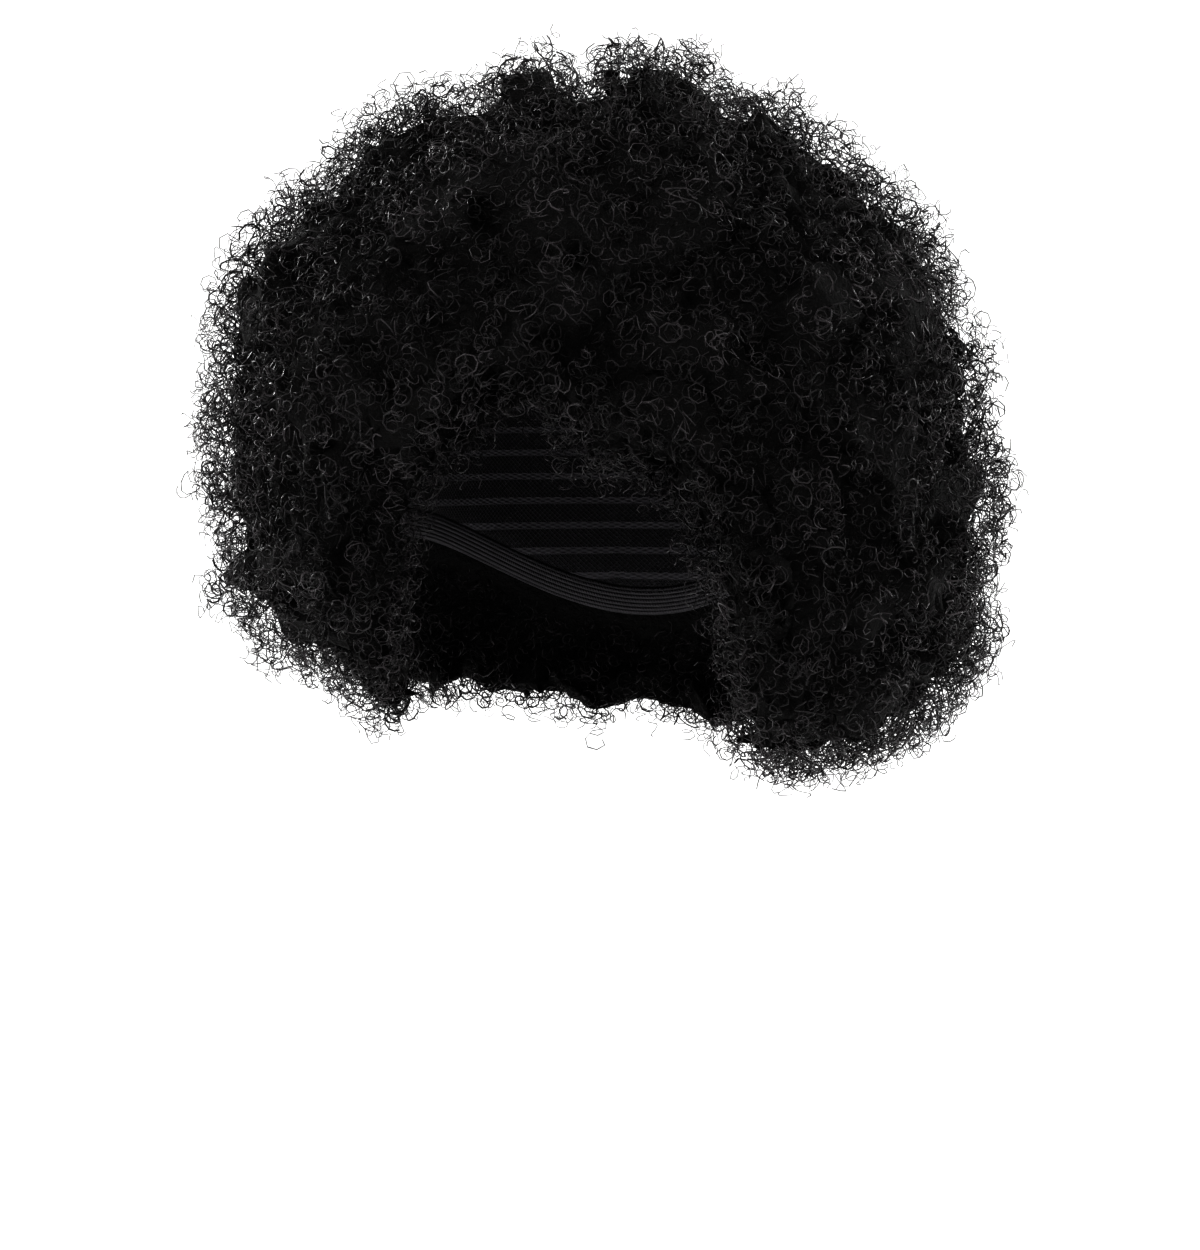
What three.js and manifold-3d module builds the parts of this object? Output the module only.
// A party wig with a big round afro, life size, in millimetres.
// +Z is up, the open face looks along -Y and +X is the wearer's left.
// The origin is the inside of the cap's crown, where the wig sits on top of the head.
import * as THREE from "three";
import Module from "manifold-3d";
import { ConvexGeometry } from "three/addons/geometries/ConvexGeometry.js";
import { LoftGeometry } from "three/addons/geometries/LoftGeometry.js";
import { mergeVertices } from "three/addons/utils/BufferGeometryUtils.js";

// The head that the cap is cut for. A drop is a distance below the crown.
const HEAD_BREADTH = 156;
const HEAD_LENGTH = 198;
const TEMPLE_DROP = 92; // where the head is widest
const NAPE_NARROWING = 4; // how far the hollow draws in on each side, down to the nape

// The cap and the elastic sewn along its edge.
const CAP_WALL = 2;
const BAND_HEIGHT = 12;
const BROW_RIM = 47; // the cap net's edge at the hairline, as a drop
const EAR_RIM = 104;
const BACK_RIM = 140;
const NAPE_BELOW_BAND = 13; // from the band at the back to the nape
const NAPE_DROP = Math.max(BROW_RIM, EAR_RIM, BACK_RIM) + BAND_HEIGHT + NAPE_BELOW_BAND;

// The outline of the hair, out to the tips of its locks.
const HAIR_WIDTH = 328;
const HAIR_FRONT = 154; // forward of the head's centre
const HAIR_BACK = 174;
const HAIR_ABOVE = 86; // over the crown
const HAIR_BELOW = 209; // the lowest locks, as a drop
const WIDEST_DROP = 85;
const BOTTOM_SQUARENESS = 3; // 2 would be an ellipsoid, more is a flatter underside

// The locks: rounded heads of curl, side by side all over the hair.
const LOCK_WIDTH = 38;
const LOCK_RELIEF = 12; // from a lock's tip to the valley beside it
const LOCK_UNEVENNESS = 7; // how much longer one lock may be than another
const NOTCH_DEPTH = 20; // the parting between two clumps on top
const NOTCH_WIDTH = 11;
const NOTCH_OFFSET = -7;

// Where the hair swells out of that outline, or is thinner. Left is the wearer's left. Left and up
// point from the hair's centre, and swell is a share of LOBE_SWELL.
const LOBES = [
  { left: 0.78, up: -0.6, swell: 0.8 }, // the side that hangs lower
  { left: 0.35, up: -0.9, swell: 0.25 },
  { left: -0.75, up: -0.62, swell: -1 },
  { left: -0.35, up: -0.92, swell: -0.35 },
  { left: -0.85, up: 0.5, swell: 0.2 },
  { left: -0.2, up: 0.97, swell: 0.15 }, // the two clumps on top
  { left: 0.2, up: 0.97, swell: 0.1 },
  { left: 0.55, up: 0.8, swell: -0.3 },
];
const LOBE_SWELL = 15;
const LOBE_SPREAD = 0.4; // as a share of the hair's half width

// The opening for the face.
const FACE_WIDTH = 120; // between the front edges of the side hair
const FRINGE_DROP = 83; // the fringe's lower edge on the forehead
const ARCH_HEIGHT = 45; // from where the opening is widest up to the fringe's edge
const LOCK_END = 9; // how far lock ends stand into the opening
const PARTING_RISE = 26; // where the fringe parts and shows the forehead
const PARTING_WIDTH = 14;
const PARTING_OFFSET = -8;

// Where the hair is divided, seen from above, and round the top.
const FRINGE_ANGLE = 28 * (FACE_WIDTH / 120); // each side of the front, no wider than the opening
const BACK_ANGLE = 48; // each side of the back
const CROWN_ANGLE = 40; // from straight up

const SEAT_GAP = 0.3; // between one piece and the next
const AROUND = 36; // facets round the head
const NET_ROWS = 8; // rows of facets from the crown to the cap's edge

const wasm = await Module();
wasm.setup();
const radians = THREE.MathUtils.degToRad;

// A closed three.js geometry as a solid that can be joined and cut. Faces that a ring drawn together
// to a point has left without area are dropped.
function solid(geometry) {
  const bare = new THREE.BufferGeometry().setAttribute("position", geometry.getAttribute("position"));
  bare.setIndex(geometry.getIndex());
  const merged = mergeVertices(bare, 1e-3);
  const faces = [];
  for (let i = 0; i < merged.index.count; i += 3) {
    const [a, b, c] = merged.index.array.slice(i, i + 3);
    if (a !== b && b !== c && c !== a) faces.push(a, b, c);
  }
  return new wasm.Manifold(
    new wasm.Mesh({
      numProp: 3,
      vertProperties: merged.attributes.position.array,
      triVerts: new Uint32Array(faces),
    }),
  );
}

// A named mesh of a finished solid.
function piece(name, made, material) {
  const { vertProperties, triVerts } = made.getMesh();
  const geometry = new THREE.BufferGeometry()
    .setAttribute("position", new THREE.BufferAttribute(vertProperties, 3))
    .setIndex(new THREE.BufferAttribute(triVerts, 1));
  geometry.computeVertexNormals();
  const mesh = new THREE.Mesh(geometry, material);
  mesh.name = name;
  return mesh;
}

// A point round the head: angle 0 is the face, 90 degrees the wearer's left.
function around(angle, sideways, lengthways, z) {
  return new THREE.Vector3(Math.sin(angle) * sideways, -Math.cos(angle) * lengthways, z);
}

// A point of the head's surface moved out by an offset: a dome down to the temples, then walls that
// are nearly straight.
function headPoint(angle, drop, offset) {
  if (drop < TEMPLE_DROP) {
    const up = 1 - drop / TEMPLE_DROP;
    const out = Math.sqrt(1 - up * up);
    const z = -TEMPLE_DROP + (TEMPLE_DROP + offset) * up;
    return around(angle, (HEAD_BREADTH / 2 + offset) * out, (HEAD_LENGTH / 2 + offset) * out, z);
  }
  const down = Math.min(1, (drop - TEMPLE_DROP) / (NAPE_DROP - TEMPLE_DROP));
  const moved = offset - NAPE_NARROWING * down;
  return around(angle, HEAD_BREADTH / 2 + moved, HEAD_LENGTH / 2 + moved, -drop);
}

// The drop of the net's edge, going round from the brow over the ears to the back.
function rimDrop(angle) {
  const facing = Math.cos(angle);
  const end = facing > 0 ? BROW_RIM : BACK_RIM;
  return EAR_RIM + (end - EAR_RIM) * facing * facing;
}

// One ring of points on the head's surface, at the drop that a rule gives for each angle.
function headRing(offset, dropAt) {
  return Array.from({ length: AROUND }, (_, i) => {
    const angle = (i / AROUND) * 2 * Math.PI;
    return headPoint(angle, dropAt(angle), offset);
  });
}

// The rings from the crown, where they meet in a point, down to the net's edge.
function netRings(offset) {
  return Array.from({ length: NET_ROWS + 1 }, (_, row) =>
    headRing(offset, (angle) => rimDrop(angle) * (row / NET_ROWS) ** 2),
  );
}

function capNet() {
  const outside = netRings(CAP_WALL);
  const inside = netRings(0);
  return solid(new LoftGeometry([...outside.toReversed(), ...inside, outside.at(-1)]));
}

function edgeBand() {
  const top = (angle) => rimDrop(angle) + SEAT_GAP;
  const bottom = (angle) => rimDrop(angle) + BAND_HEIGHT;
  const outside = [headRing(CAP_WALL, bottom), headRing(CAP_WALL, top)];
  const inside = [headRing(0, top), headRing(0, bottom)];
  return solid(new LoftGeometry([...outside, ...inside, outside[0]]));
}

// The room for the head and the cap inside the hair, open below.
function headRoom() {
  const offset = CAP_WALL + SEAT_GAP;
  const rings = netRings(offset);
  rings.push(headRing(offset, (angle) => rimDrop(angle) + BAND_HEIGHT));
  rings.push(headRing(offset, () => NAPE_DROP));
  rings.push(headRing(offset, () => NAPE_DROP + HAIR_BELOW));
  return solid(new LoftGeometry(rings.reverse(), { capStart: true }));
}

// Points spread evenly over a unit ball.
function evenDirections(count) {
  const golden = Math.PI * (3 - Math.sqrt(5));
  return Array.from({ length: count }, (_, i) => {
    const z = 1 - (2 * i + 1) / count;
    const radius = Math.sqrt(1 - z * z);
    return new THREE.Vector3(radius * Math.cos(i * golden), radius * Math.sin(i * golden), z);
  });
}

// A number from 0 to 1 that looks random and is the same each time.
function scatter(i) {
  const wave = Math.sin(i * 12.9898 + 4.1414) * 43758.5453;
  return wave - Math.floor(wave);
}

const hairCentre = new THREE.Vector3(0, (HAIR_BACK - HAIR_FRONT) / 2, -WIDEST_DROP);
const lockAngle = LOCK_WIDTH / (HAIR_WIDTH / 2);
const lockCount = Math.round((4 * Math.PI) / (lockAngle * lockAngle * Math.sin(radians(60))));
const locks = evenDirections(lockCount);
const VALLEY = 0.58; // from a lock's tip to where three locks meet, as a share of their spacing
const SHOULDER = 0.3; // from a lock's tip to its shoulders, as a share of the same
const BLENDING = 8; // how sharply one lock's length gives way to the next one's

// How far the outline of the hair is from its centre, along a direction.
function outlineReach(direction) {
  const lengthways = (HAIR_FRONT + HAIR_BACK) / 2;
  const level = Math.hypot(direction.x / (HAIR_WIDTH / 2), direction.y / lengthways);
  const above = direction.z > 0;
  const height = above ? HAIR_ABOVE + WIDEST_DROP : HAIR_BELOW - WIDEST_DROP;
  const power = above ? 2 : BOTTOM_SQUARENESS;
  let reach = (level ** power + (Math.abs(direction.z) / height) ** power) ** (-1 / power);
  for (const { left, up, swell } of LOBES) {
    const aside = Math.hypot(direction.x - left, direction.z - up) / LOBE_SPREAD;
    reach += LOBE_SWELL * swell * Math.exp(-aside * aside);
  }
  return reach;
}

// How deep the parting on top is, along a direction.
function notch(direction) {
  const reach = outlineReach(direction);
  const aside = (direction.x * reach - NOTCH_OFFSET) / NOTCH_WIDTH;
  const top = THREE.MathUtils.smoothstep(direction.z, 0.75, 0.95);
  return NOTCH_DEPTH * top * Math.exp(-aside * aside);
}

// How far the hair's surface falls short of the outline, along a direction. Each lock is a dome with
// its own length, and it meets its neighbours in valleys.
function shortfall(direction) {
  let closest = Infinity;
  let lengths = 0;
  let weights = 0;
  locks.forEach((lock, k) => {
    const aside = lock.angleTo(direction) / lockAngle;
    const weight = Math.exp(-BLENDING * aside * aside);
    closest = Math.min(closest, aside);
    lengths += weight * (scatter(k) - 0.5);
    weights += weight;
  });
  const dome = Math.min(1, (closest / VALLEY) ** 2);
  return LOCK_RELIEF * dome + LOCK_UNEVENNESS * (lengths / weights) + notch(direction);
}

// The hair's surface, a ball of locks. Each lock has a tip and a ring of shoulders, with valleys
// and saddles that it shares with its neighbours.
function ballOfLocks() {
  const points = [...locks];
  const between = new ConvexGeometry(locks).getAttribute("position");
  const corners = [0, 1, 2].map(() => new THREE.Vector3());
  for (let i = 0; i < between.count; i += 3) {
    corners.forEach((corner, k) => corner.fromBufferAttribute(between, i + k));
    const [a, b, c] = corners;
    points.push(a.clone().add(b).add(c).normalize());
    for (const [from, to] of [[a, b], [b, c], [c, a]]) {
      if (from.x < to.x) points.push(from.clone().add(to).normalize());
      points.push(from.clone().lerp(to, SHOULDER).normalize());
    }
  }
  const merged = mergeVertices(new ConvexGeometry(points).deleteAttribute("normal"), 1e-5);
  const position = merged.getAttribute("position");
  const direction = new THREE.Vector3();
  for (let i = 0; i < position.count; i++) {
    direction.fromBufferAttribute(position, i).normalize();
    direction.multiplyScalar(outlineReach(direction) - shortfall(direction)).add(hairCentre);
    position.setXYZ(i, direction.x, direction.y, direction.z);
  }
  return solid(merged);
}

// The opening for the face, as sections from inside the head to in front of the hair. Reach is a
// share of HAIR_FRONT. Brow and jaw are its half width over the brow and at the lowest locks, as
// shares of half FACE_WIDTH. Rise is how far the fringe's edge lifts, as a share of FRINGE_DROP.
const FACE_SECTIONS = [
  { reach: -0.3, brow: 0.55, jaw: 0.9, rise: -0.3 },
  { reach: 0.0, brow: 0.78, jaw: 1.3, rise: -0.2 },
  { reach: 0.24, brow: 0.88, jaw: 1.36, rise: -0.08 },
  { reach: 0.44, brow: 0.98, jaw: 1.5, rise: 0.0 },
  { reach: 0.62, brow: 1.14, jaw: 1.72, rise: 0.02 },
  { reach: 0.8, brow: 1.42, jaw: 2.05, rise: 0.1 },
  { reach: 0.98, brow: 1.9, jaw: 2.6, rise: 0.24 },
  { reach: 1.16, brow: 2.6, jaw: 3.4, rise: 0.44 },
];
const FACE_ROWS = 18; // rings of lock ends, from front to back
const ARCH_POINTS = 13;
const LEG_POINTS = 7;

// A row of the table above at any reach, between its neighbours.
function faceSection(reach) {
  const next = Math.max(1, FACE_SECTIONS.findIndex((section) => section.reach >= reach));
  const [from, to] = [FACE_SECTIONS[next - 1], FACE_SECTIONS[next]];
  const share = (reach - from.reach) / (to.reach - from.reach);
  const mixed = (key) => THREE.MathUtils.lerp(from[key], to[key], share);
  return { reach, brow: mixed("brow"), jaw: mixed("jaw"), rise: mixed("rise") };
}

// One ring of the opening: an arch over the brow, with a parting in it, on two legs that spread down
// to the jaw. On every other ring, every other point stands inward, where a lock ends.
function faceRing(section, row) {
  const half = FACE_WIDTH / 2;
  const top = -FRINGE_DROP * (1 - section.rise);
  const spring = top - ARCH_HEIGHT;
  const floor = -HAIR_BELOW - LOCK_WIDTH;
  const lockEnd = LOCK_END * THREE.MathUtils.smoothstep(section.reach, 0.3, 0.5);
  const leg = Array.from({ length: LEG_POINTS }, (_, k) => {
    const down = 1 - k / LEG_POINTS;
    return [THREE.MathUtils.lerp(section.brow, section.jaw, down) * half, spring + (floor - spring) * down];
  });
  const arch = Array.from({ length: ARCH_POINTS }, (_, k) => {
    const turn = (k / (ARCH_POINTS - 1)) * Math.PI;
    return [section.brow * half * Math.cos(turn), spring + (top - spring) * Math.sin(turn)];
  });
  const mirrored = leg.map(([x, z]) => [-x, z]).reverse();
  return [...leg, ...arch, ...mirrored].map(([x, z], k) => {
    const inward = row % 2 && (k + (row >> 1)) % 2 ? lockEnd : 0;
    const up = Math.max(0, (z - spring) / (top - spring));
    const side = 1 - (inward / half) * Math.sqrt(1 - up * up);
    const aside = (x - PARTING_OFFSET) / PARTING_WIDTH;
    const parted = PARTING_RISE * up * Math.exp(-aside * aside);
    return new THREE.Vector3(x * side, -section.reach * HAIR_FRONT, z + parted - inward * up);
  });
}

function faceOpening() {
  const first = FACE_SECTIONS.at(0).reach;
  const last = FACE_SECTIONS.at(-1).reach;
  const rings = Array.from({ length: FACE_ROWS }, (_, row) =>
    faceRing(faceSection(THREE.MathUtils.lerp(first, last, row / (FACE_ROWS - 1))), row),
  );
  return solid(new LoftGeometry(rings, { capStart: true, capEnd: true }));
}

const beyond = HAIR_WIDTH + HAIR_BELOW; // further than any of the hair reaches

// A cone that stands on the hair's centre and holds the crown. Lowered, it leaves a gap round it.
function crownCone(lowered) {
  const cone = new THREE.ConeGeometry(beyond * Math.tan(radians(CROWN_ANGLE)), beyond, AROUND);
  cone.rotateX(-Math.PI / 2);
  cone.translate(0, 0, -WIDEST_DROP - lowered + beyond / 2);
  return solid(cone);
}

// An upright wedge of hair between two angles round the head, in degrees from the face. Its sides
// stand back from those angles by half a gap.
function wedge(from, to) {
  const middle = radians((from + to) / 2);
  const half = radians((to - from) / 2);
  const tip = around(middle, 1, 1, 0).multiplyScalar(SEAT_GAP / 2 / Math.sin(half));
  const fan = [-1, -0.5, 0, 0.5, 1].map((share) => around(middle + half * share, beyond, beyond, 0));
  const outline = [tip, ...fan.map((corner) => corner.add(tip))];
  const shape = new THREE.Shape(outline.map(({ x, y }) => new THREE.Vector2(x, y)));
  const prism = new THREE.ExtrudeGeometry(shape, { depth: 2 * beyond, bevelEnabled: false });
  prism.translate(0, 0, -beyond);
  return solid(prism);
}

const netMaterial = new THREE.MeshStandardMaterial({ color: 0x17161a, roughness: 0.85, metalness: 0 });
const bandMaterial = new THREE.MeshStandardMaterial({ color: 0x1f1e21, roughness: 0.7, metalness: 0 });
const hairMaterial = new THREE.MeshStandardMaterial({ color: 0x141314, roughness: 0.5, metalness: 0 });

const hair = ballOfLocks().subtract(headRoom()).subtract(faceOpening());
const crown = crownCone(0);
const notCrown = hair.subtract(crownCone(SEAT_GAP / Math.sin(radians(CROWN_ANGLE))));

const wig = new THREE.Group();
wig.add(piece("cap_net", capNet(), netMaterial));
wig.add(piece("edge_band", edgeBand(), bandMaterial));
wig.add(piece("crown_hair", hair.intersect(crown), hairMaterial));
const divisions = [
  ["fringe_hair", -FRINGE_ANGLE, FRINGE_ANGLE],
  ["left_side_hair", FRINGE_ANGLE, 180 - BACK_ANGLE],
  ["back_hair", 180 - BACK_ANGLE, 180 + BACK_ANGLE],
  ["right_side_hair", 180 + BACK_ANGLE, 360 - FRINGE_ANGLE],
];
for (const [name, from, to] of divisions) {
  wig.add(piece(name, notCrown.intersect(wedge(from, to)), hairMaterial));
}

export default wig;
